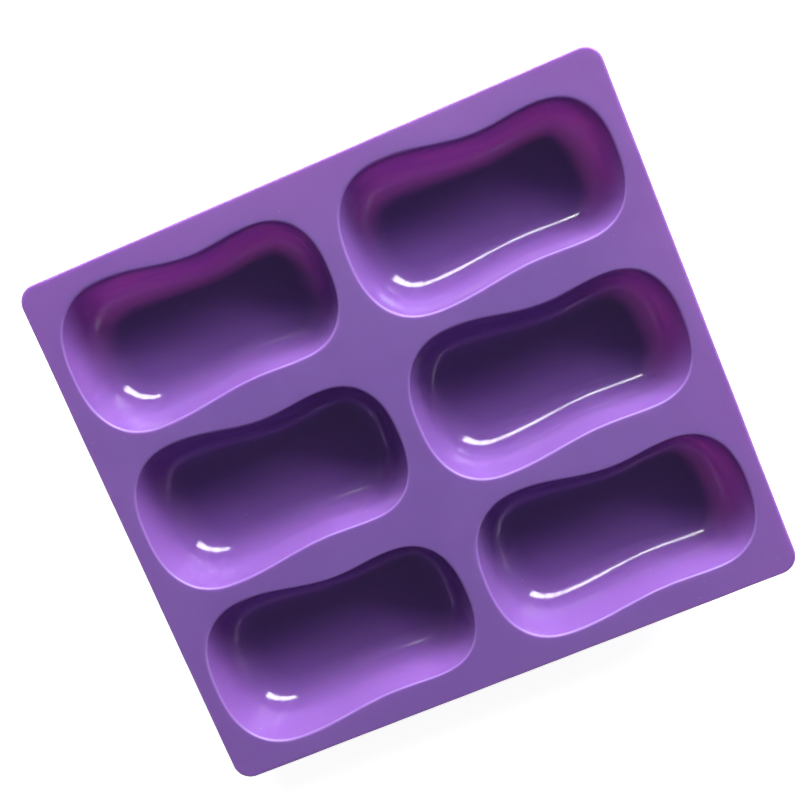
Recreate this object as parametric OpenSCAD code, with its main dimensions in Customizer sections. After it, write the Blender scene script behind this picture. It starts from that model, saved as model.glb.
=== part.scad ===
// Silicone soap mould: a thin sheet with six waisted cavities in two columns and three rows.
// X runs along the cavities, Y runs to the back, Z is up. The mould stands on the cups' undersides
// at Z = 0. It is one flexible moulding in use: here each cup and each half of the sheet is a
// region of its own, and the two columns turn about the thin web between them.

/* [Cavity] */
// Length of a cavity's mouth, along X
cavity_l = 114.4; // [96:0.2:138]
// Width of the large lobe's mouth, along Y
big_lobe_w = 65; // [54:0.5:78]
// Width of the small lobe's mouth, along Y
small_lobe_w = 57.8; // [48:0.1:70]
// Distance from the large lobe's tip to its widest place
big_lobe_run = 28; // [23:0.5:34]
// Distance from the small lobe's tip to its widest place
small_lobe_run = 25.2; // [23:0.1:31]
// How far the back side's waist lies inside the small lobe's side
back_dip = 1.7; // [0:0.1:3]
// Distance from the cavity's middle to the back side's waist
back_waist_x = 9; // [0:0.5:16]
// How far the front side's waist lies inside the small lobe's side
front_dip = 0.5; // [0:0.1:3]
// Distance from the cavity's middle to the front side's waist
front_waist_x = 14; // [0:0.5:16]
// Squareness of the lobes' corners: 2 is an ellipse, more is squarer
squareness = 2.45; // [2:0.05:3]

/* [Depth] */
// Depth of a cavity, from the sheet's top to the floor
cavity_depth = 28; // [23:0.5:34]
// Lean of the cavity's wall from the vertical, in degrees
draft = 14; // [10:1:20]
// How far the small lobe's sides lean in, as a share of the large lobe's
small_lean = 0.78; // [0.7:0.02:1]
// Radius of the mouth's edge
lip_r = 1; // [0.5:0.1:2]
// Radius between the wall and the floor
floor_r = 13.5; // [8:0.5:15]

/* [Silicone] */
// Thickness of the sheet
sheet_t = 2.5; // [1.5:0.1:4]
// Thickness of the cups' walls
wall_t = 2.2; // [1.5:0.1:4]
// Thickness of the cups' floors
floor_t = 2.5; // [1.5:0.1:4]
// Width of the flat rim that each cup has around its mouth
rim_w = 1.5; // [1:0.1:2.2]

/* [Layout] */
// Width of the web between the two columns
column_web = 7.6; // [7:0.1:12]
// Width of the webs between the rows, at the large lobes
row_web = 6.6; // [5:0.1:12]
// Width of the sheet past the cavities' tips
end_margin = 6.8; // [4:0.1:20]
// Width of the sheet past the cavities' sides
side_margin = 8.4; // [4:0.1:20]
// Radius of the sheet's corners
corner_r = 7.5; // [3:0.5:12]

/* [Fold] */
// Angle that the right column turns up about the web, in degrees
fold_up = 90; // [30:5:90]
// Angle that the right column turns down about the web, in degrees
fold_down = 35; // [20:5:35]
// Gap between each half of the sheet and the fold's axis
fold_gap = 0.1; // [0.05:0.01:0.3]

/* [Hidden] */
sheet_colour = "#8C62B2";
cup_colour = "#7E55A8";

// Steps along each lobe's tip, an even number, along half a side, and along the wall's two radii
tip_steps = 18;
side_steps = 10;
lip_steps = 2;
fillet_steps = 5;
corner_fn = 96;
overshoot = 2;

// The sheet's size and the cavities' places follow from the mouths, the webs and the margins
sheet_l = 2 * cavity_l + column_web + 2 * end_margin;
sheet_w = 3 * big_lobe_w + 2 * row_web + 2 * side_margin;
height = cavity_depth + floor_t;
column_x = (cavity_l + column_web) / 2;
row_y = big_lobe_w + row_web;
left = -1;
right = 1;
back = 1;
middle = 0;
front = -1;

// Where a cavity's lobes are widest and where its two waists lie
big_x = big_lobe_run - cavity_l / 2;
small_x = cavity_l / 2 - small_lobe_run;
back_waist = [back_waist_x, small_lobe_w / 2 - back_dip];
front_waist = [front_waist_x, small_lobe_w / 2 - front_dip];

// The wall's straight stretch, between the lip's radius and the floor's
turn = 90 - draft;
lip_end = [lip_r * sin(turn), lip_r * (1 - cos(turn))];
outer_r = floor_r + floor_t;
wall_out = wall_t / cos(draft);
function wall_inset(depth) = lip_end.x + (depth - lip_end.y) * tan(draft);

function power(v, e) = sign(v) * pow(abs(v), e);

// Half a superellipse that rounds a lobe's tip, anticlockwise from the given angle
function tip(centre_x, run, half_w, from) = [
    for (i = [0 : tip_steps - 1])
        let (a = from + 180 * i / tip_steps)
        [centre_x + run * power(cos(a), 2 / squareness), half_w * power(sin(a), 2 / squareness)]
];

// A smooth swell from one height to another, level at both ends
function swell(from, to, share) = from + (to - from) * (1 - cos(180 * share)) / 2;

// One side of the outline: from a lobe's widest place to the waist, and on to the other lobe
function side(start, waist, end) = concat(
    [for (i = [0 : side_steps - 1])
        let (s = i / side_steps)
        [start.x + (waist.x - start.x) * s, swell(start.y, waist.y, s)]],
    [for (i = [0 : side_steps - 1])
        let (s = i / side_steps)
        [waist.x + (end.x - waist.x) * s, swell(waist.y, end.y, s)]]
);

// The cavity's outline, leaning in by an inset and moved out evenly by a distance, anticlockwise
// from the small lobe's front
function outline(inset, out) =
    let (
        less = out - inset * small_lean,
        big = big_lobe_w / 2 - inset + out,
        small = small_lobe_w / 2 + less,
        back_in = [back_waist.x, back_waist.y + less],
        front_in = [front_waist.x, -front_waist.y - less]
    )
    concat(
        tip(small_x, small_lobe_run - inset + out, small, -90),
        side([small_x, small], back_in, [big_x, big]),
        tip(big_x, big_lobe_run - inset + out, big, 90),
        side([big_x, -big], front_in, [small_x, -small])
    );

// Points down the radius from the wall to a floor at the given depth: inset and depth
function floor_arc(floor, radius) = [
    for (i = [0 : fillet_steps])
        let (a = turn * (1 - i / fillet_steps), start = floor - radius * (1 - cos(turn)))
        [wall_inset(start) + radius * (sin(turn) - sin(a)), floor - radius * (1 - cos(a))]
];

// Points around the cup's section, from the floor's edge over the rim to the underside: inset,
// distance out and depth
inner_arc = floor_arc(cavity_depth, floor_r);
section = concat(
    [for (i = [fillet_steps : -1 : 0]) [inner_arc[i].x, 0, inner_arc[i].y]],
    [for (i = [0 : lip_steps])
        let (a = turn * (1 - i / lip_steps))
        [lip_r * sin(a), 0, lip_r * (1 - cos(a))]],
    [[0, rim_w, 0], [0, rim_w, sheet_t], [wall_inset(sheet_t), wall_out, sheet_t]],
    [for (p = floor_arc(height, outer_r)) [p.x, wall_out, p.y]]
);

// Triangles that fill a ring of n points, anticlockwise: they climb it like a ladder, rung by rung,
// from the small lobe's tip to the large lobe's
function ladder(n, first) =
    let (
        start = tip_steps / 2,
        back_side = [for (k = [0 : n / 2]) first + (start + k) % n],
        front_side = [for (k = [0 : n / 2]) first + (start - k + n) % n]
    )
    concat(
        [for (k = [0 : n / 2 - 2]) [back_side[k], back_side[k + 1], front_side[k + 1]]],
        [for (k = [1 : n / 2 - 1]) [back_side[k], front_side[k + 1], front_side[k]]]
    );

module cup_shell() {
    rings = [for (s = section) [for (p = outline(s.x, s.y)) [p.x, p.y, height - s.z]]];
    n = len(rings[0]);
    last = len(rings) - 1;
    bands = [
        for (r = [0 : last - 1], i = [0 : n - 1])
            let (a = r * n + i, b = r * n + (i + 1) % n)
            each [[a, b, b + n], [a, b + n, a + n]]
    ];
    inner_floor = [for (t = ladder(n, 0)) [t.z, t.y, t.x]];
    underside = ladder(n, last * n);
    polyhedron(points = [for (ring = rings) each ring], faces = concat(bands, inner_floor, underside));
}

module cup(column, row) {
    color(cup_colour)
        translate([column * column_x, row * row_y, 0])
            cup_shell();
}

module sheet_plan() {
    square([sheet_l, sheet_w - 2 * corner_r], center = true);
    square([sheet_l - 2 * corner_r, sheet_w], center = true);
    for (x = [-1, 1], y = [-1, 1])
        translate([x * (sheet_l / 2 - corner_r), y * (sheet_w / 2 - corner_r)])
            circle(r = corner_r, $fn = corner_fn);
}

// The right half's section: its edge at the web is cut back above and below the fold's axis
module half_section() {
    up_x = fold_gap + (sheet_t / 2 + overshoot) * tan(fold_up / 2);
    down_x = fold_gap + (sheet_t / 2 + overshoot) * tan(fold_down / 2);
    top = height + overshoot;
    bottom = height - sheet_t - overshoot;
    far = sheet_l / 2 + overshoot;
    polygon([
        [fold_gap, height - sheet_t / 2],
        [down_x, bottom],
        [far, bottom],
        [far, top],
        [up_x, top]
    ]);
}

module sheet_half(column) {
    color(sheet_colour)
        intersection() {
            translate([0, 0, height - sheet_t])
                linear_extrude(sheet_t)
                    difference() {
                        sheet_plan();
                        for (row = [back, middle, front])
                            translate([column * column_x, row * row_y])
                                polygon(outline(0, rim_w));
                    }
            mirror([column == left ? 1 : 0, 0, 0])
                rotate([90, 0, 0])
                    linear_extrude(sheet_w + 2 * overshoot, center = true)
                        half_section();
        }
}

module sheet_left() { sheet_half(left); }
module cup_back_left() { cup(left, back); }
module cup_middle_left() { cup(left, middle); }
module cup_front_left() { cup(left, front); }
module sheet_right() { sheet_half(right); }
module cup_back_right() { cup(right, back); }
module cup_middle_right() { cup(right, middle); }
module cup_front_right() { cup(right, front); }

sheet_left();
cup_back_left();
cup_middle_left();
cup_front_left();
sheet_right();
cup_back_right();
cup_middle_right();
cup_front_right();
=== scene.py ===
# %% [markdown]
# # A silicone soap mould
#
# A soap mould of this kind is poured in one shot: a thin, limp sheet of purple silicone with six
# waisted cavities hanging below it. It has no screws, no frame and no seams, so the whole look
# depends on three things: one unbroken skin with true thickness, light that soaks into the thin
# walls, and a finish that is satin on the sheet and glossy where the steel tool was polished.
#
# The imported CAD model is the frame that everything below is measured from. It divides the mould
# into two columns that fold about the web between them.

# %% Load the frame
import math

import bpy
import numpy as np
from mathutils import Matrix, Vector


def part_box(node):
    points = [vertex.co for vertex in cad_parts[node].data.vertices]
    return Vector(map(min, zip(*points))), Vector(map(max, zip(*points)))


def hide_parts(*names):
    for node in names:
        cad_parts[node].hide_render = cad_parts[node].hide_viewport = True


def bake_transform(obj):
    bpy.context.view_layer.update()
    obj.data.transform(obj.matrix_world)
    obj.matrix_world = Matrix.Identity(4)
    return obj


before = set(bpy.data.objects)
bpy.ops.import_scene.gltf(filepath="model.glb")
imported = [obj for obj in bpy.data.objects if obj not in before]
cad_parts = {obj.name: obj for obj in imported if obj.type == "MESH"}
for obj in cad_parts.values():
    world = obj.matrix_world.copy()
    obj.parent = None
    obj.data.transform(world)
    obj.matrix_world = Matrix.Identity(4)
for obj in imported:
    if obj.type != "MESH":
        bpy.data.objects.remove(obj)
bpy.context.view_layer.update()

MM = 0.001

# %% [markdown]
# ## What the frame says
#
# Every size that the CAD model holds is read from its nodes' boxes, so the skin lands on the CAD
# parts without any fitting. The middle cup of the right column gives the mouth, the sheet gives
# the thickness, and two cups give the spacing.

# %% Sizes read from the frame
RIM = 1.5 * MM  # the flat rim that each CAD cup carries around its mouth

cup_low, cup_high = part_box("cup_middle_right")
sheet_low, sheet_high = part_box("sheet_right")
back_low, back_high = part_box("cup_back_right")

top = sheet_high.z
sheet_t = sheet_high.z - sheet_low.z
half_l, half_w = sheet_high.x, sheet_high.y
mouth_l = cup_high.x - cup_low.x - 2 * RIM
big_lobe_w = cup_high.y - cup_low.y - 2 * RIM
column_pitch = cup_high.x + cup_low.x
row_pitch = (back_high.y + back_low.y - cup_high.y - cup_low.y) / 2

# %% [markdown]
# ## The outline of a cavity
#
# Seen from above, a cavity is a peanut: a large round end, a small round end, and a waist that is
# deeper at the back than at the front. A drawn curve could hold that shape, but a rule holds it
# better, because the wall needs the same shape again and again, each time a little smaller. The
# ends are quarters of a superellipse, which is an ellipse with squarer shoulders, and the sides
# are cosine swells that arrive level at the waist and at the lobes. Further down the wall the
# outline is drawn in, and the small lobe's sides lean in less than the large lobe's.
#
# The outline is walked anticlockwise in eight legs. A *station* is a number from 0 to 8: its whole
# part says which leg, and its fraction says how far along.

# %% Outline of a cavity
SMALL_LOBE_W = 57.8 * MM
BIG_RUN = 28 * MM
SMALL_RUN = 25.2 * MM
BACK_WAIST = (9 * MM, SMALL_LOBE_W / 2 - 1.7 * MM)
FRONT_WAIST = (14 * MM, SMALL_LOBE_W / 2 - 0.5 * MM)
SQUARENESS = 2.45
SMALL_LEAN = 0.78
LEGS = 8
QUARTER_STARTS = {0: -90, 1: 0, 4: 90, 5: 180}

big_x = BIG_RUN - mouth_l / 2
small_x = mouth_l / 2 - SMALL_RUN


def rounded(value):
    """The superellipse's power of a sine or cosine, with its sign kept."""
    return np.sign(value) * np.abs(value) ** (2 / SQUARENESS)


def outline(inset, stations, out=0):
    """Plan points of the outline, leaning in by inset and moved out evenly, at the given stations."""
    stations = np.mod(stations, LEGS)
    leg = stations.astype(int)
    less = out - inset * SMALL_LEAN
    big, small = big_lobe_w / 2 - inset + out, SMALL_LOBE_W / 2 + less
    back = (BACK_WAIST[0], BACK_WAIST[1] + less)
    front = (FRONT_WAIST[0], -FRONT_WAIST[1] - less)
    swells = {
        2: ((small_x, small), back),
        3: (back, (big_x, big)),
        6: ((big_x, -big), front),
        7: (front, (small_x, -small)),
    }
    points = np.empty((len(stations), 2))
    for i in range(LEGS):
        here = leg == i
        share = stations[here] - i
        if i in swells:
            (x0, y0), (x1, y1) = swells[i]
            ease = (1 - np.cos(np.pi * share)) / 2
            points[here] = np.c_[x0 + (x1 - x0) * share, y0 + (y1 - y0) * ease]
        else:
            angle = np.radians(QUARTER_STARTS[i] + 90 * share)
            centre, run, half = (small_x, SMALL_RUN, small) if i < 2 else (big_x, BIG_RUN, big)
            points[here] = np.c_[
                centre + (run - inset + out) * rounded(np.cos(angle)), half * rounded(np.sin(angle))
            ]
    return points


# %% [markdown]
# ## Stations that are spaced for the job
#
# The skin is laid out as one rectangular cell for each cavity, and the cells have to meet point for
# point. So each ring of points has four stretches, one for each side of the cell, and the stretches
# meet at the lobes' shoulders. The points crowd towards the ends of the long sides. That rounds the
# shoulders well, and it puts many rows of points across the web, which has to bend like a hinge.

# %% Stations along the outline
ALONG, ACROSS = 52, 28
CROWDING = 0.65
FINE = 600  # points that measure a stretch's length
FRONT_RIGHT, BACK_RIGHT, BACK_LEFT, FRONT_LEFT = 0.5, 1.5, 4.5, 5.5


def crowded(count):
    """Shares from 0 to 1 that lie closer together at both ends."""
    s = np.linspace(0, 1, count + 1)
    return s - CROWDING * np.sin(2 * np.pi * s) / (2 * np.pi)


def stretch(start, end, shares):
    """Stations from start to end, at the given shares of the outline's length between them."""
    fine = np.linspace(start, end, FINE)
    steps = np.diff(outline(0, fine), axis=0)
    length = np.concatenate([[0], np.cumsum(np.hypot(steps[:, 0], steps[:, 1]))])
    return np.interp(shares[:-1] * length[-1], length, fine)


long_shares, short_shares = crowded(ALONG), np.linspace(0, 1, ACROSS + 1)
stations = np.concatenate([
    stretch(FRONT_RIGHT, BACK_RIGHT, short_shares),
    stretch(BACK_RIGHT, BACK_LEFT, long_shares),
    stretch(BACK_LEFT, FRONT_LEFT, short_shares),
    stretch(FRONT_LEFT, FRONT_RIGHT + LEGS, long_shares),
])
RING = len(stations)
cell_x = column_pitch * (long_shares - 0.5)
cell_y = row_pitch * (short_shares - 0.5)


def cell_border():
    """The cell's rectangle, point for point with the stations."""
    right = [(column_pitch / 2, y) for y in cell_y[:-1]]
    back = [(-x, row_pitch / 2) for x in cell_x[:-1]]
    left = [(-x, -y) for x, y in right]
    front = [(-x, -y) for x, y in back]
    return np.array(right + back + left + front)


print("points in a ring:", RING)

# %% [markdown]
# ## The section of a cavity
#
# Cut through, a cavity is a small lip radius, a wall that leans out by the draft that lets the bar
# slip off, and a large radius into a flat floor. The underside repeats it one wall thickness
# further out, with a small fillet where the wall leaves the sheet. Each is a list of pairs: how far
# the outline is drawn in, and how far below the sheet's top that ring lies.

# %% Section of a cavity
DRAFT = math.radians(14)
TURN = math.pi / 2 - DRAFT
LIP_R = 1.0 * MM
FLOOR_R = 13.5 * MM
FLOOR_T = 2.5 * MM
WALL_T = 2.2 * MM
ROOT_R = 1.5 * MM
depth = top - FLOOR_T
outer_r = FLOOR_R + FLOOR_T
wall_out = WALL_T / math.cos(DRAFT)


def wall_inset(down):
    """How far the wall's straight stretch is drawn in at a depth."""
    lip_in, lip_down = LIP_R * math.sin(TURN), LIP_R * (1 - math.cos(TURN))
    return lip_in + (down - lip_down) * math.tan(DRAFT)


def arc(start, radius, steps):
    """An arc that leaves start level and turns down to the wall's lean, as pairs of inset and depth."""
    return [
        (start[0] + radius * math.sin(a), start[1] + radius * (1 - math.cos(a)))
        for a in np.linspace(0, TURN, steps + 1)
    ]


def floor_arc(floor, radius, steps):
    """The radius from the wall down to a floor at the given depth."""
    start = floor - radius * (1 - math.cos(TURN))
    edge = wall_inset(start) + radius * math.sin(TURN)
    return [
        (edge - radius * math.sin(a), floor - radius * (1 - math.cos(a)))
        for a in np.linspace(TURN, 0, steps + 1)
    ]


def straight(a, b, steps):
    """Points between two ends, without the ends."""
    return [tuple(np.array(a) + (np.array(b) - a) * k / steps) for k in range(1, steps)]


LIP_STEPS, WALL_STEPS, FLOOR_STEPS = 6, 6, 12
lip = arc((0, 0), LIP_R, LIP_STEPS)
floor_radius = floor_arc(depth, FLOOR_R, FLOOR_STEPS)
inner_section = lip + straight(lip[-1], floor_radius[0], WALL_STEPS) + floor_radius

ROOT_STEPS, OUTER_WALL_STEPS, OUTER_FLOOR_STEPS = 4, 5, 10
root_start = wall_inset(sheet_t) - ROOT_R * math.tan(TURN / 2)
root = arc((root_start, sheet_t), ROOT_R, ROOT_STEPS)
outer_radius = floor_arc(top, outer_r, OUTER_FLOOR_STEPS)
outer_section = root + straight(root[-1], outer_radius[0], OUTER_WALL_STEPS) + outer_radius
print("rings inside and outside:", len(inner_section), len(outer_section))

# %% [markdown]
# ## One cell of the skin
#
# A cell is the rectangle of sheet around one cavity, with the cavity in it, seen from above and
# from below. Between the mouth and the cell's border the points slide from one shape to the other.
# The floors are filled with a grid: the ring already has four sides, so the rows run straight
# across, and no pole pinches the highlight on a glossy floor.
#
# Each point also carries two numbers that the material reads later. *Polish* is 1 inside the
# cavity, where the steel was polished, and 0 on the satin sheet. *Painted highlight* is 1 on the
# lips and the sheet's outer edge, where a paler colour paints the light line that these edges catch.

# %% Grid and ring helpers
SUPPORT = 0.25 * MM
SLIDE = (1.0, 0.9, 0.8, 0.7, 0.56, 0.4, 0.2, 0.0)


def grid_of(ring):
    """Ring positions as the four borders of a grid: row 0 is the front, column 0 the left."""
    grid = -np.ones((ACROSS + 1, ALONG + 1), int)
    grid[:, ALONG] = ring[: ACROSS + 1]
    grid[ACROSS, ::-1] = ring[ACROSS : ACROSS + ALONG + 1]
    grid[::-1, 0] = ring[ACROSS + ALONG : 2 * ACROSS + ALONG + 1]
    grid[0, :-1] = ring[2 * ACROSS + ALONG :]
    return grid


def fill_floor(verts, faces, first, flip):
    """Fills the ring that starts at vertex first with a grid of quads."""
    grid = grid_of(np.arange(first, first + RING))
    at = np.array(verts)
    u, v = np.meshgrid(long_shares, short_shares)
    u, v = u[..., None], v[..., None]
    front, back, west, east = at[grid[0]], at[grid[-1]], at[grid[:, 0]], at[grid[:, -1]]
    corners = (1 - v) * ((1 - u) * front[0] + u * front[-1]) + v * ((1 - u) * back[0] + u * back[-1])
    place = (1 - v) * front + v * back + (1 - u) * west[:, None] + u * east[:, None] - corners
    for j in range(1, ACROSS):
        for i in range(1, ALONG):
            grid[j, i] = len(verts)
            verts.append(tuple(place[j, i]))
    for j in range(ACROSS):
        for i in range(ALONG):
            quad = [grid[j, i], grid[j, i + 1], grid[j + 1, i + 1], grid[j + 1, i]]
            faces.append([int(k) for k in (quad[::-1] if flip else quad)])


def lay_rings(verts, faces, rings, flip):
    """Joins closed rings of points with bands of quads and returns the last ring's first vertex."""
    for k, ring in enumerate(rings):
        first = len(verts)
        verts.extend(map(tuple, ring))
        if k:
            for i in range(RING):
                j = (i + 1) % RING
                quad = [first - RING + i, first - RING + j, first + j, first + i]
                faces.append(quad[::-1] if flip else quad)
    return first


def ring_at(points, down):
    return np.c_[points, np.full(len(points), top - down)]


def cavity_side(verts, faces, section, out, level, flip):
    """One face of the cell: border, slide to the mouth, section, floor."""
    border, mouth = cell_border(), outline(section[0][0], stations, out + SUPPORT)
    rings = [ring_at(mouth + (border - mouth) * s, level) for s in SLIDE]
    rings += [ring_at(outline(inset, stations, out), down) for inset, down in section]
    fill_floor(verts, faces, lay_rings(verts, faces, rings, flip), flip)
    return len(SLIDE) * RING


def make_mesh(name, verts, faces):
    mesh = bpy.data.meshes.new(name)
    mesh.from_pydata(verts, [], faces)
    mesh.update()
    return mesh


def store(mesh, name, values):
    """Keeps one number for each point of the mesh, clipped to 0 and 1."""
    kept = np.clip(values, 0, 1).astype(np.float32)
    mesh.attributes.new(name, "FLOAT", "POINT").data.foreach_set("value", kept)


# %% [markdown]
# ## The cell's mesh
#
# The upper and the lower side are laid one after the other into one mesh, the lower one with its
# faces turned over. The cell stays open along its border, where its neighbours join on. The two
# numbers are given by counting rings from the mouth: ring 0 is the lip's start, and the wall
# follows. They could be painted by hand, but a brush can hardly follow a lip that is 1 mm wide.

# %% Cell mesh
verts, faces = [], []
flat_points = cavity_side(verts, faces, inner_section, 0, 0, flip=False)
inside_points = len(verts)
cavity_side(verts, faces, outer_section, wall_out, sheet_t, flip=True)
cell_mesh = make_mesh("mould_cell", verts, faces)

LIP_MIDDLE_RING, HIGHLIGHT_REACH = 3, 3.5  # the lip's middle ring, and how many rings the painted highlight fades over
ring_number = np.arange(inside_points - flat_points) // RING
polish, painted_highlight = np.zeros((2, len(verts)))
polish[flat_points:inside_points] = (ring_number - LIP_MIDDLE_RING) / (len(lip) - LIP_MIDDLE_RING)
# painted highlight mask: strongest on the lip's middle ring, fading to both sides
painted_highlight[flat_points:inside_points] = 1 - np.abs(ring_number - LIP_MIDDLE_RING) / HIGHLIGHT_REACH
store(cell_mesh, "polish", polish)
store(cell_mesh, "painted_highlight", painted_highlight)
print("cell:", len(verts), "points,", len(faces), "faces")

# %% [markdown]
# ## The edge strip
#
# The cells leave a narrow strip of sheet around the outside, with the mould's rounded corners and
# its outer edge. The edge is softly rounded and carries a faint ridge at half its thickness, where
# the two halves of the steel tool met. The inner border of the strip has the cells' own points, and
# the corners need many more, so the two are zipped together with triangles, which can't be seen on
# a flat face.

# %% Loops of the edge strip
CORNER_R = 7.5 * MM
CORNER_STEPS = 12
EDGE_R = 0.7 * MM
EDGE_STEPS = 4
RIDGE = 0.12 * MM
RIDGE_HALF = 0.25 * MM

DIGITS = 7  # decimals of a metre that make the places two cells share come out equal

all_x = np.unique(np.round(np.concatenate([cell_x + s * column_pitch / 2 for s in (-1, 1)]), DIGITS))
all_y = np.unique(np.round(np.concatenate([cell_y + s * row_pitch for s in (-1, 0, 1)]), DIGITS))
print("border points:", len(all_x), "by", len(all_y))


def box_loop(half_x, half_y, xs, ys, corner):
    """A closed loop, anticlockwise from the middle of the right side.

    corner(i) gives the points of corner i, and xs and ys are the places along the straight sides.
    """
    up = [(half_x, y) for y in ys]
    over = [(x, half_y) for x in xs[::-1]]
    down = [(-half_x, y) for y in ys[::-1]]
    under = [(x, -half_y) for x in xs]
    loop = up + corner(0) + over + corner(1) + down + corner(2) + under + corner(3)
    middle = int(np.argmin([abs(y) for y in ys]))
    return np.array(loop[middle:] + loop[:middle])


def cell_loop():
    """The outer border of the six cells."""
    hx, hy = all_x[-1], all_y[-1]
    points = [(hx, hy), (-hx, hy), (-hx, -hy), (hx, -hy)]
    return box_loop(hx, hy, all_x[1:-1], all_y[1:-1], lambda i: [points[i]])


def sheet_loop(inset):
    """The sheet's rounded outline, drawn in by inset."""
    cx, cy = half_l - CORNER_R, half_w - CORNER_R
    radius = CORNER_R - inset

    def corner(i):
        signs = [(1, 1), (-1, 1), (-1, -1), (1, -1)][i]
        angles = np.radians(90 * i + np.linspace(0, 90, CORNER_STEPS + 1))
        return [(signs[0] * cx + radius * math.cos(a), signs[1] * cy + radius * math.sin(a)) for a in angles]

    clear = MM / 2  # keeps a place on a straight side off the corner's first point
    xs = all_x[np.abs(all_x) < cx - clear]
    ys = all_y[np.abs(all_y) < cy - clear]
    return box_loop(half_l - inset, half_w - inset, xs, ys, corner)


def zip_loops(inner, outer, a, b, flip):
    """Triangles between two loops that start side by side, stepping along the nearer point."""
    i = j = 0
    triangles = []
    while i < len(inner) or j < len(outer):
        next_i, next_j = (i + 1) % len(inner), (j + 1) % len(outer)
        step_in = np.linalg.norm(inner[next_i] - outer[j % len(outer)])
        step_out = np.linalg.norm(inner[i % len(inner)] - outer[next_j])
        if j == len(outer) or (i < len(inner) and step_in < step_out):
            tri = [a + i % len(inner), b + j % len(outer), a + next_i]
            i += 1
        else:
            tri = [a + i % len(inner), b + j % len(outer), b + next_j]
            j += 1
        triangles.append(tri[::-1] if flip else tri)
    return triangles


def make_edge_section():
    """Inset and depth down the edge, from the top face round to the underside."""
    quarter = [
        (EDGE_R * (1 - math.sin(a)), EDGE_R * (1 - math.cos(a)))
        for a in np.linspace(0, math.pi / 2, EDGE_STEPS + 1)
    ]
    middle = sheet_t / 2
    ridge = [(0, middle - RIDGE_HALF), (-RIDGE, middle), (0, middle + RIDGE_HALF)]
    lower = [(inset, sheet_t - down) for inset, down in quarter[::-1]]
    return [(EDGE_R + SUPPORT, 0)] + quarter + ridge + lower + [(EDGE_R + SUPPORT, sheet_t)]


# %% [markdown]
# ## The edge's mesh
#
# The strip is a stack of loops: the cells' border on top, the edge's own loops from the top face
# round to the underside, and the cells' border again below. It stays open along the cells' border.
# The painted highlight is strongest on the edge itself and fades where the rounding meets the flat
# faces. A bevelled slab could give the edge too, but its border wouldn't have the cells' own points.

# %% Edge mesh
edge_section = make_edge_section()
verts, faces = [], []
inner_loop = cell_loop()
loops = [sheet_loop(inset) for inset, _ in edge_section]
verts.extend(map(tuple, ring_at(inner_loop, 0)))
firsts = []
for loop, (_, down) in zip(loops, edge_section):
    firsts.append(len(verts))
    verts.extend(map(tuple, ring_at(loop, down)))
last = len(verts)
verts.extend(map(tuple, ring_at(inner_loop, sheet_t)))
faces += zip_loops(inner_loop, loops[0], 0, firsts[0], flip=False)
for a, b in zip(firsts, firsts[1:]):
    n = len(loops[0])
    faces += [[a + i, b + i, b + (i + 1) % n, a + (i + 1) % n] for i in range(n)]
faces += zip_loops(inner_loop, loops[-1], last, firsts[-1], flip=True)
edge_mesh = make_mesh("mould_edge", verts, faces)
store(edge_mesh, "polish", np.zeros(len(verts)))
# painted highlight mask on the outer edge: full on the edge, fading onto the flat faces
edge_highlight = [1 - inset / EDGE_R for inset, _ in edge_section]
no_highlight = np.zeros(len(inner_loop))
store(edge_mesh, "painted_highlight", np.concatenate([no_highlight, np.repeat(edge_highlight, len(loops[0])), no_highlight]))
edge_strip = bpy.data.objects.new("mould_edge", edge_mesh)
bpy.context.scene.collection.objects.link(edge_strip)
print("edge strip:", len(verts), "points,", len(faces), "faces")

# %% [markdown]
# ## The material's shared parts
#
# A finish like this is made of a few effects on top of each other. Each could be wired straight
# into the material, but as a node group it has a name, a few named inputs, and can be placed
# again. The groups put out plain values, and the material decides what they do. A handful of
# helpers keeps the wiring readable: one makes a group, one makes a node and fills its sockets.

# %% Helpers for node trees
def new_group(name, inputs, outputs, kind="ShaderNodeTree"):
    """A node group with named float or vector inputs and outputs, and its two end nodes."""
    tree = bpy.data.node_groups.new(name, kind)
    for label, socket, default in inputs:
        item = tree.interface.new_socket(label, in_out="INPUT", socket_type=socket)
        if default is not None:
            item.default_value = default
    for label, socket in outputs:
        tree.interface.new_socket(label, in_out="OUTPUT", socket_type=socket)
    return tree, tree.nodes.new("NodeGroupInput"), tree.nodes.new("NodeGroupOutput")


def node(tree, kind, links=None, **settings):
    """A node with its settings and its inputs.

    A socket that is given for an input is linked to it, and a value is set.
    """
    made = tree.nodes.new(kind)
    for key, value in settings.items():
        setattr(made, key, value)
    for key, value in (links or {}).items():
        socket = made.inputs[key]
        if isinstance(value, bpy.types.NodeSocket):
            tree.links.new(value, socket)
        else:
            socket.default_value = value
    return made


def maths(tree, operation, a, b, clamp=False):
    return node(tree, "ShaderNodeMath", {0: a, 1: b}, operation=operation, use_clamp=clamp).outputs[0]


def noise(tree, vector, scale, detail=2.0, roughness=0.5):
    made = node(tree, "ShaderNodeTexNoise", {
        "Vector": vector,
        "Scale": scale,
        "Detail": detail,
        "Roughness": roughness,
    })
    return made.outputs[0]


def spread(tree, value, low, high):
    """The value's stretch from low to high, carried smoothly to 0 and 1."""
    made = node(tree, "ShaderNodeMapRange", {
        "Value": value,
        "From Min": low,
        "From Max": high,
    }, interpolation_type="SMOOTHSTEP")
    return made.outputs[0]


def mix_colour(tree, share, one, other):
    return node(tree, "ShaderNodeMix", {0: share, 6: one, 7: other}, data_type="RGBA").outputs[2]


def mix_value(tree, share, one, other):
    return node(tree, "ShaderNodeMix", {0: share, 2: one, 3: other}, data_type="FLOAT").outputs[0]


FLOAT, VECTOR = "NodeSocketFloat", "NodeSocketVector"

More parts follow.
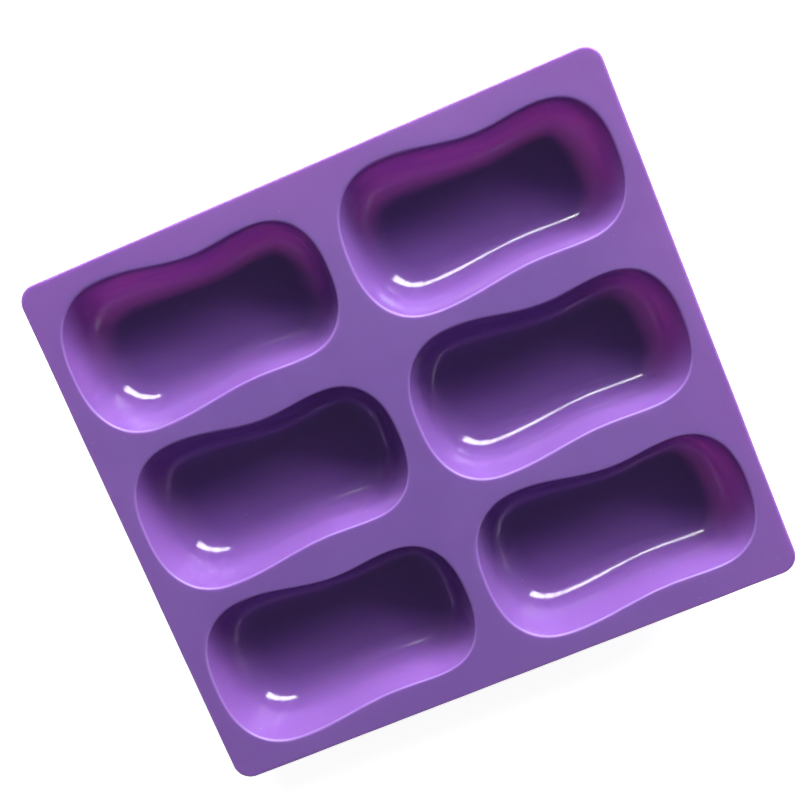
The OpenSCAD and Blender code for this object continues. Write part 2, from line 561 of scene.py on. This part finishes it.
# %% [markdown]
# ## Moulded grain
#
# The sheet's part of the steel tool was blasted, and the silicone copies its fine tooth. Modelled
# bumps that small would need millions of faces, so it is two noises that the material turns into a
# bump: a fine one, and a coarser one whose deepest spots are also the pits.

# %% Moulded grain
FINE_SHARE, COARSE_SHARE = 0.65, 0.35
COARSENESS = 0.22
PIT_FROM, PIT_FULL = 0.62, 0.75

grain_group, enter, leave = new_group(
    "Moulded grain",
    [("Vector", VECTOR, None), ("Scale", FLOAT, 2500.0)],
    [("Height", FLOAT), ("Pits", FLOAT)],
)
fine = noise(grain_group, enter.outputs["Vector"], enter.outputs["Scale"], detail=3)
coarse_scale = maths(grain_group, "MULTIPLY", enter.outputs["Scale"], COARSENESS)
coarse = noise(grain_group, enter.outputs["Vector"], coarse_scale)
fine_part = maths(grain_group, "MULTIPLY", fine, FINE_SHARE)
coarse_part = maths(grain_group, "MULTIPLY", coarse, COARSE_SHARE)
grain_group.links.new(maths(grain_group, "ADD", fine_part, coarse_part), leave.inputs["Height"])
grain_group.links.new(spread(grain_group, coarse, PIT_FROM, PIT_FULL), leave.inputs["Pits"])
print("nodes in the grain:", len(grain_group.nodes))

# %% [markdown]
# ## Handling
#
# Fingers and soap oils leave broad, soft differences in sheen, and the last wipe leaves smears. A
# painted mask could show both, but noise needs no picture. The smears are the same kind of noise,
# squeezed across the direction of the wipe with a Mapping node.

# %% Handling
WIPE_TURN = math.radians(35)
WIPE_SQUEEZE = 5
SMEAR_SCALE = 2.4
SHEEN_FROM, SHEEN_FULL = 0.35, 0.65
SMEAR_FROM, SMEAR_FULL = 0.55, 0.72

handling_group, enter, leave = new_group(
    "Handling",
    [("Vector", VECTOR, None), ("Size", FLOAT, 18.0)],
    [("Sheen", FLOAT), ("Smears", FLOAT)],
)
broad = noise(handling_group, enter.outputs["Vector"], enter.outputs["Size"], detail=3, roughness=0.55)
wiped = node(handling_group, "ShaderNodeMapping", {
    "Vector": enter.outputs["Vector"],
    "Rotation": (0, 0, WIPE_TURN),
    "Scale": (1, WIPE_SQUEEZE, 1),
})
smear_scale = maths(handling_group, "MULTIPLY", enter.outputs["Size"], SMEAR_SCALE)
smears = noise(handling_group, wiped.outputs[0], smear_scale, detail=5, roughness=0.6)
handling_group.links.new(spread(handling_group, broad, SHEEN_FROM, SHEEN_FULL), leave.inputs["Sheen"])
handling_group.links.new(spread(handling_group, smears, SMEAR_FROM, SMEAR_FULL), leave.inputs["Smears"])
print("nodes in the handling:", len(handling_group.nodes))

# %% [markdown]
# ## Lint
#
# Silicone always holds a few specks of dust. They could be scattered as tiny meshes, but they are
# too small to cast a shadow. A Voronoi texture has one middle in each of its cells, and a speck is
# drawn round the middle of the few cells whose random colour passes a bar.

# %% Lint
SPECK_BAR = 0.86

lint_group, enter, leave = new_group(
    "Lint",
    [("Vector", VECTOR, None), ("Scale", FLOAT, 260.0), ("Size", FLOAT, 0.05)],
    [("Specks", FLOAT)],
)
cells = node(lint_group, "ShaderNodeTexVoronoi", {
    "Vector": enter.outputs["Vector"],
    "Scale": enter.outputs["Scale"],
}, feature="F1")
near = maths(lint_group, "LESS_THAN", cells.outputs["Distance"], enter.outputs["Size"])
chance = node(lint_group, "ShaderNodeSeparateColor", {0: cells.outputs["Color"]}).outputs[0]
chosen = maths(lint_group, "GREATER_THAN", chance, SPECK_BAR)
lint_group.links.new(maths(lint_group, "MULTIPLY", near, chosen), leave.inputs["Specks"])
print("nodes in the lint:", len(lint_group.nodes))

# %% [markdown]
# ## Purple silicone
#
# Silicone is neither paint nor plastic. Light enters it, wanders for up to a centimetre and comes
# out again. Red wanders furthest, then blue, then green, so a thin wall with light behind it glows
# magenta. A plain glossy shader with a purple colour would look like painted tin. The Principled
# shader's subsurface has a radius for each colour, so it is used here.
#
# The sheet takes its tooth and its satin sheen from the grain. Inside the cavities *polish* lowers
# the roughness and leaves only a slow ripple, so that the window's reflections are sharp but not
# ruled lines. A paler lilac is painted on the lips and the outer edge as a painted highlight, which
# draws the thin light line around each mouth.
# The colours are linear values, which are smaller numbers than a colour picker would show.

# %% Purple silicone
SHEET_COLOUR = (0.129, 0.066, 0.252, 1)
DEEP_COLOUR = (0.164, 0.073, 0.294, 1)
PATCH_COLOUR = (0.165, 0.088, 0.295, 1)
DUST_COLOUR = (0.62, 0.55, 0.70, 1)
# the paler lilac that paints the highlight line on the lips and the outer edge
HIGHLIGHT_COLOUR = (0.22, 0.13, 0.35, 1)
HIGHLIGHT_SHARE = 0.4
SCATTER = 10.0 * MM

silicone = bpy.data.materials.new("purple_silicone")
silicone.use_nodes = True
tree = silicone.node_tree
tree.nodes.clear()
place = node(tree, "ShaderNodeTexCoord").outputs["Object"]
gloss = node(tree, "ShaderNodeAttribute", attribute_name="polish").outputs["Fac"]
# the mask of the painted highlight on the lips and the outer edge
highlight_mask = node(tree, "ShaderNodeAttribute", attribute_name="painted_highlight").outputs["Fac"]
grain = node(tree, "ShaderNodeGroup", {"Vector": place, "Scale": 2300.0}, node_tree=grain_group)
handling = node(tree, "ShaderNodeGroup", {"Vector": place, "Size": 17.0}, node_tree=handling_group)
lint = node(tree, "ShaderNodeGroup", {"Vector": place, "Scale": 230.0, "Size": 0.045},
            node_tree=lint_group)
print("nodes that the silicone reads from:", len(tree.nodes))

# %% [markdown]
# ### Its colour
#
# The colour is laid in four steps, each a mix over the one before: sheet or cavity, the broad
# patches of handling, the painted highlight on the edges, and the dust.

# %% Colour of the silicone
PATCH_SHARE = 0.18
DUST_SHARE = 0.35

colour = mix_colour(tree, gloss, SHEET_COLOUR, DEEP_COLOUR)
patched = maths(tree, "MULTIPLY", handling.outputs["Sheen"], PATCH_SHARE)
colour = mix_colour(tree, patched, colour, PATCH_COLOUR)
# painted highlight: a paler lilac on the lips and outer edge stands in for the light line they catch
colour = mix_colour(tree, maths(tree, "MULTIPLY", highlight_mask, HIGHLIGHT_SHARE), colour, HIGHLIGHT_COLOUR)
dusted = maths(tree, "MULTIPLY", lint.outputs["Specks"], DUST_SHARE)
colour = mix_colour(tree, dusted, colour, DUST_COLOUR)
print("nodes with the colour:", len(tree.nodes))

# %% [markdown]
# ### Its gloss and its tooth
#
# Roughness and bump each have a satin and a glossy version, and *polish* chooses between them.
# The satin is duller where hands have been, and the gloss is duller in the smears. On the sheet
# the bump is the grain. In the cavities it is mostly a slow ripple, about two centimetres long,
# because a mirror-flat floor would show the window with ruled edges.

# %% Gloss and tooth of the silicone
SATIN, SATIN_HANDLED = 0.40, 0.08
GLOSS, GLOSS_SMEARED = 0.125, 0.05
PITTED = 0.05
RIPPLE_SCALE, RIPPLE_HEIGHT = 55.0, 5.0
GLOSS_GRAIN = 0.12

satin_rough = maths(tree, "ADD", SATIN, maths(tree, "MULTIPLY", handling.outputs["Sheen"], SATIN_HANDLED))
gloss_rough = maths(tree, "ADD", GLOSS, maths(tree, "MULTIPLY", handling.outputs["Smears"], GLOSS_SMEARED))
rough = mix_value(tree, gloss, satin_rough, gloss_rough)
rough = maths(tree, "ADD", rough, maths(tree, "MULTIPLY", grain.outputs["Pits"], PITTED), clamp=True)

ripple = maths(tree, "MULTIPLY", noise(tree, place, RIPPLE_SCALE), RIPPLE_HEIGHT)
gloss_height = maths(tree, "ADD", ripple, maths(tree, "MULTIPLY", grain.outputs["Height"], GLOSS_GRAIN))
height = mix_value(tree, gloss, grain.outputs["Height"], gloss_height)
bump = node(tree, "ShaderNodeBump", {"Strength": 0.35, "Distance": 0.05 * MM, "Height": height})
print("nodes with the gloss and the tooth:", len(tree.nodes))

# %% [markdown]
# ### Its body
#
# Everything meets in one Principled shader. The random walk method follows the light through the
# real thickness of the skin, which is what makes the thin walls glow and the web stay dark.

# %% Body of the silicone
skin_shader = node(tree, "ShaderNodeBsdfPrincipled", {
    "Base Color": colour,
    "Roughness": rough,
    "IOR": 1.46,
    "Normal": bump.outputs[0],
    "Subsurface Weight": 1.0,
    "Subsurface Radius": (0.84, 0.57, 0.65),
    "Subsurface Scale": SCATTER,
}, subsurface_method="RANDOM_WALK")
node(tree, "ShaderNodeOutputMaterial", {"Surface": skin_shader.outputs[0]})
print("nodes in the silicone:", len(tree.nodes))

# %% [markdown]
# ## Six cavities from one cell
#
# The cavities are identical, so Geometry Nodes lay them out: a small grid of points, the cell
# instanced on each point, and the edge strip joined on. An Array modifier could do the same, but
# here the counts and pitches are inputs with names. Realised and merged, the cells are one closed
# skin. A soft silicone part is never quite true, so a slow noise then pushes the skin along its
# normals by a tenth of a millimetre. It fades out near the floor, which has to stand flat.

# %% Geometry nodes for the mould
JOIN_WITHIN = 0.01 * MM
TRUE_BELOW, FREE_ABOVE = 1 * MM, 10 * MM  # where the unevenness starts and is full, above the floor

layout, enter, leave = new_group(
    "Mould layout",
    [
        ("Cell", "NodeSocketGeometry", None),
        ("Edge", "NodeSocketObject", None),
        ("Columns", "NodeSocketInt", 2),
        ("Rows", "NodeSocketInt", 3),
        ("Column pitch", FLOAT, 0.122),
        ("Row pitch", FLOAT, 0.0716),
        ("Unevenness", FLOAT, 0.0001),
        ("Patch size", FLOAT, 0.03),
        ("Finish", "NodeSocketMaterial", None),
    ],
    [("Mould", "NodeSocketGeometry")],
    kind="GeometryNodeTree",
)
layout.is_modifier = True
size = enter.outputs


def span(count, pitch):
    """The distance from the first to the last of count points, pitch apart."""
    return maths(layout, "MULTIPLY", maths(layout, "SUBTRACT", count, 1.0), pitch)


points = node(layout, "GeometryNodeMeshGrid", {
    "Size X": span(size["Columns"], size["Column pitch"]),
    "Size Y": span(size["Rows"], size["Row pitch"]),
    "Vertices X": size["Columns"],
    "Vertices Y": size["Rows"],
})
placed = node(layout, "GeometryNodeInstanceOnPoints", {
    "Points": points.outputs["Mesh"],
    "Instance": size["Cell"],
})
edge_in = node(layout, "GeometryNodeObjectInfo", {"Object": size["Edge"]})
joined = layout.nodes.new("GeometryNodeJoinGeometry")
layout.links.new(placed.outputs["Instances"], joined.inputs[0])
layout.links.new(edge_in.outputs["Geometry"], joined.inputs[0])
real = node(layout, "GeometryNodeRealizeInstances", {"Geometry": joined.outputs[0]})
merged = node(layout, "GeometryNodeMergeByDistance", {
    "Geometry": real.outputs[0],
    "Distance": JOIN_WITHIN,
})

here = node(layout, "GeometryNodeInputPosition").outputs[0]
patches = noise(layout, here, maths(layout, "DIVIDE", 1.0, size["Patch size"]), detail=1)
up = node(layout, "ShaderNodeSeparateXYZ", {0: here}).outputs["Z"]
raised = spread(layout, up, TRUE_BELOW, FREE_ABOVE)
push = maths(layout, "MULTIPLY", maths(layout, "SUBTRACT", patches, 0.5), size["Unevenness"])
push = maths(layout, "MULTIPLY", push, raised)
outwards = node(layout, "GeometryNodeInputNormal").outputs[0]
offset = node(layout, "ShaderNodeVectorMath", {0: outwards, "Scale": push}, operation="SCALE")
uneven = node(layout, "GeometryNodeSetPosition", {
    "Geometry": merged.outputs[0],
    "Offset": offset.outputs[0],
})
shaded = node(layout, "GeometryNodeSetShadeSmooth", {"Geometry": uneven.outputs[0]})
finished = node(layout, "GeometryNodeSetMaterial", {
    "Geometry": shaded.outputs[0],
    "Material": size["Finish"],
})
layout.links.new(finished.outputs[0], leave.inputs["Mould"])
print("nodes in the layout:", len(layout.nodes))

# %% [markdown]
# ## Grow the mould
#
# The tree runs as a modifier on the cell. Its inputs go by identifiers, so a small helper looks
# them up by the labels that a reader sees. The evaluated result is then kept as a plain mesh, and
# the cell, the strip and the modifier are cleared away, so that nothing live is left.

# %% Grow the mould
def set_inputs(modifier, **values):
    """Sets a modifier's inputs by the labels that its tree gives them."""
    labels = {s.name: s.identifier for s in modifier.node_group.interface.items_tree if s.in_out == "INPUT"}
    for label, value in values.items():
        modifier[labels[label.replace("_", " ")]] = value


seed = bpy.data.objects.new("mould_seed", cell_mesh)
bpy.context.scene.collection.objects.link(seed)
grow = seed.modifiers.new("layout", "NODES")
grow.node_group = layout
set_inputs(grow, Edge=edge_strip, Columns=2, Rows=3, Column_pitch=column_pitch, Row_pitch=row_pitch,
           Unevenness=0.35 * MM, Patch_size=28 * MM, Finish=silicone)

bpy.context.view_layer.update()
evaluated = seed.evaluated_get(bpy.context.evaluated_depsgraph_get())
skin_mesh = bpy.data.meshes.new_from_object(evaluated)
skin_mesh.name = "mould_skin"
seed.modifiers.remove(grow)
for done in (seed, edge_strip):
    bpy.data.objects.remove(done)
mould = bpy.data.objects.new("mould_skin", skin_mesh)
bpy.context.scene.collection.objects.link(mould)
print("mould:", len(skin_mesh.vertices), "points,", len(skin_mesh.polygons), "faces")

# %% [markdown]
# ## A closed skin
#
# Subsurface light needs a closed skin with its normals outwards, and so does an STL file. Every
# edge has to belong to exactly two faces, and the signed volume has to be positive. The volume
# also says whether the walls are as thick as the CAD model's.

# %% Check the skin
CM3 = 1e-6


def closed_volume(mesh):
    """The number of open edges, and the volume in cubic centimetres."""
    uses = np.zeros(len(mesh.edges), int)
    loop_edges = np.empty(len(mesh.loops), int)
    mesh.loops.foreach_get("edge_index", loop_edges)
    np.add.at(uses, loop_edges, 1)
    mesh.calc_loop_triangles()
    corners = np.empty(3 * len(mesh.loop_triangles), int)
    mesh.loop_triangles.foreach_get("vertices", corners)
    at = np.empty(3 * len(mesh.vertices))
    mesh.vertices.foreach_get("co", at)
    a, b, c = at.reshape(-1, 3)[corners].reshape(-1, 3, 3).transpose(1, 0, 2)
    six_volumes = np.einsum("ij,ij->", a, np.cross(b, c))
    return int((uses != 2).sum()), float(six_volumes / 6 / CM3)


open_edges, volume = closed_volume(skin_mesh)
print("open edges:", open_edges, "volume:", round(volume, 1), "cm3")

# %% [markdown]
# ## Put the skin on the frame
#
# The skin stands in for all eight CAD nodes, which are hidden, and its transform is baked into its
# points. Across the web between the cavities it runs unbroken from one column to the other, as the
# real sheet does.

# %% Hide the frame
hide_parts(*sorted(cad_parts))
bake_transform(mould)
print("the skin stands for", len(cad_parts), "CAD nodes")

# %% [markdown]
# ## The table
#
# The mould stands on a plain pale surface. Its shadow has to stay soft and faint, so emission lifts
# the surface, and a Light Path node keeps that light from the mould: only the camera sees it.

# %% Floor
WHITE = (1, 1, 1, 1)
FLOOR_SIZE = 6.0
FLOOR_GAP = 0.2 * MM
FLOOR_COLOUR = (0.86, 0.86, 0.87, 1)
FLOOR_LIFT = 0.85

floor_mesh = make_mesh(
    "floor",
    [(x * FLOOR_SIZE / 2, y * FLOOR_SIZE / 2, 0) for x, y in ((-1, -1), (1, -1), (1, 1), (-1, 1))],
    [(0, 1, 2, 3)],
)
floor = bpy.data.objects.new("floor", floor_mesh)
floor.location.z = -FLOOR_GAP
bpy.context.scene.collection.objects.link(floor)
paper = bpy.data.materials.new("pale_floor")
paper.use_nodes = True
tree = paper.node_tree
tree.nodes.clear()
matt = node(tree, "ShaderNodeBsdfDiffuse", {"Color": FLOOR_COLOUR})
lift = node(tree, "ShaderNodeEmission", {"Color": WHITE, "Strength": FLOOR_LIFT})
seen = node(tree, "ShaderNodeLightPath").outputs["Is Camera Ray"]
both = node(tree, "ShaderNodeAddShader", {0: matt.outputs[0], 1: lift.outputs[0]})
mixed = node(tree, "ShaderNodeMixShader", {0: seen, 1: matt.outputs[0], 2: both.outputs[0]})
node(tree, "ShaderNodeOutputMaterial", {"Surface": mixed.outputs[0]})
floor_mesh.materials.append(paper)
print("floor:", FLOOR_SIZE, "m square")

# %% [markdown]
# ## The room
#
# The room gives little light of its own, so the walls that turn from the window stay deep. To the
# camera it is white, by the same trick as the floor.

# %% Room
ROOM_LIGHT = 0.155

room = bpy.data.worlds.new("room")
bpy.context.scene.world = room
room.use_nodes = True
tree = room.node_tree
tree.nodes.clear()
seen = node(tree, "ShaderNodeLightPath").outputs["Is Camera Ray"]
strength = maths(tree, "ADD", ROOM_LIGHT, maths(tree, "MULTIPLY", seen, 1.0 - ROOM_LIGHT))
sky = node(tree, "ShaderNodeBackground", {"Color": WHITE, "Strength": strength})
node(tree, "ShaderNodeOutputWorld", {"Surface": sky.outputs[0]})

# %% [markdown]
# ## A window
#
# The light is one wide window behind the mould and to its right, in four bays with narrow bars
# between them. A glossy surface mirrors directions and not distances, so each bay is given by
# angles: where it starts and ends around the mould, anticlockwise from the mould's own right, and
# how high its sill and its head stand. The bays are low, so they draw thin white streaks on the
# floors' radii and leave the floors in soft shadow. They stand near enough that the two columns
# mirror different bays, and only the right column shows a long streak.

# %% Window light
BAYS = ((97.5, 90.7, 11, 36), (89.5, 80.9, 10, 37.5), (79.1, 60.6, 11, 39.5), (59.2, 27, 11, 38.5))
AWAY = 2.6
RADIANCE = 24.7


def light_towards(name, spot, facing, width, tall):
    """A rectangle of light at spot that faces along facing, with the same brightness at any size."""
    lamp = bpy.data.lights.new(name, "AREA")
    lamp.shape = "RECTANGLE"
    lamp.size, lamp.size_y = width, tall
    lamp.energy = RADIANCE * width * tall * math.pi
    holder = bpy.data.objects.new(name, lamp)
    holder.location = spot
    holder.rotation_euler = Vector(facing).to_track_quat("-Z", "Y").to_euler()
    holder.visible_camera = False
    bpy.context.scene.collection.objects.link(holder)


for k, (start, end, sill, head) in enumerate(BAYS):
    middle, half = math.radians(start + end) / 2, math.radians(start - end) / 2
    low, high = (AWAY * math.tan(math.radians(angle)) for angle in (sill, head))
    way = Vector((math.cos(middle), math.sin(middle), 0))
    spot = way * AWAY + Vector((0, 0, top + (low + high) / 2))
    width = 2 * AWAY * math.tan(half)
    light_towards(f"bay_{k + 1}", spot, -way, width, high - low)
    print(f"bay {k + 1}: {width:.2f} m wide, {high - low:.2f} m tall")

# %% [markdown]
# ## The camera
#
# The camera looks almost straight down, from about half a metre above the sheet, and it is turned
# so that the mould lies across the picture at a slant. A direction, a distance and the turn of the
# picture's horizontal say all of that.

# %% Camera
LOOK_AT = Vector((1.35 * MM, 12.8 * MM, top))
FROM_SPOT = Vector((49.5 * MM, 74.4 * MM, top + 493.4 * MM))
PICTURE_TURN = math.radians(-22.52)
LENS, SENSOR = 55.9, 36

backward = (FROM_SPOT - LOOK_AT).normalized()
level = Vector((math.cos(PICTURE_TURN), math.sin(PICTURE_TURN), 0))
sideways = (level - backward * level.dot(backward)).normalized()
upward = backward.cross(sideways)
camera_data = bpy.data.cameras.new("camera")
camera_data.lens = LENS
camera_data.sensor_width = SENSOR
camera = bpy.data.objects.new("camera", camera_data)
turned = Matrix((sideways, upward, backward)).transposed().to_4x4()
camera.matrix_world = Matrix.Translation(FROM_SPOT) @ turned
bpy.context.scene.collection.objects.link(camera)
bpy.context.scene.camera = camera
bpy.context.scene.view_settings.view_transform = "Standard"
print("camera:", round((FROM_SPOT - LOOK_AT).length, 3), "m away")
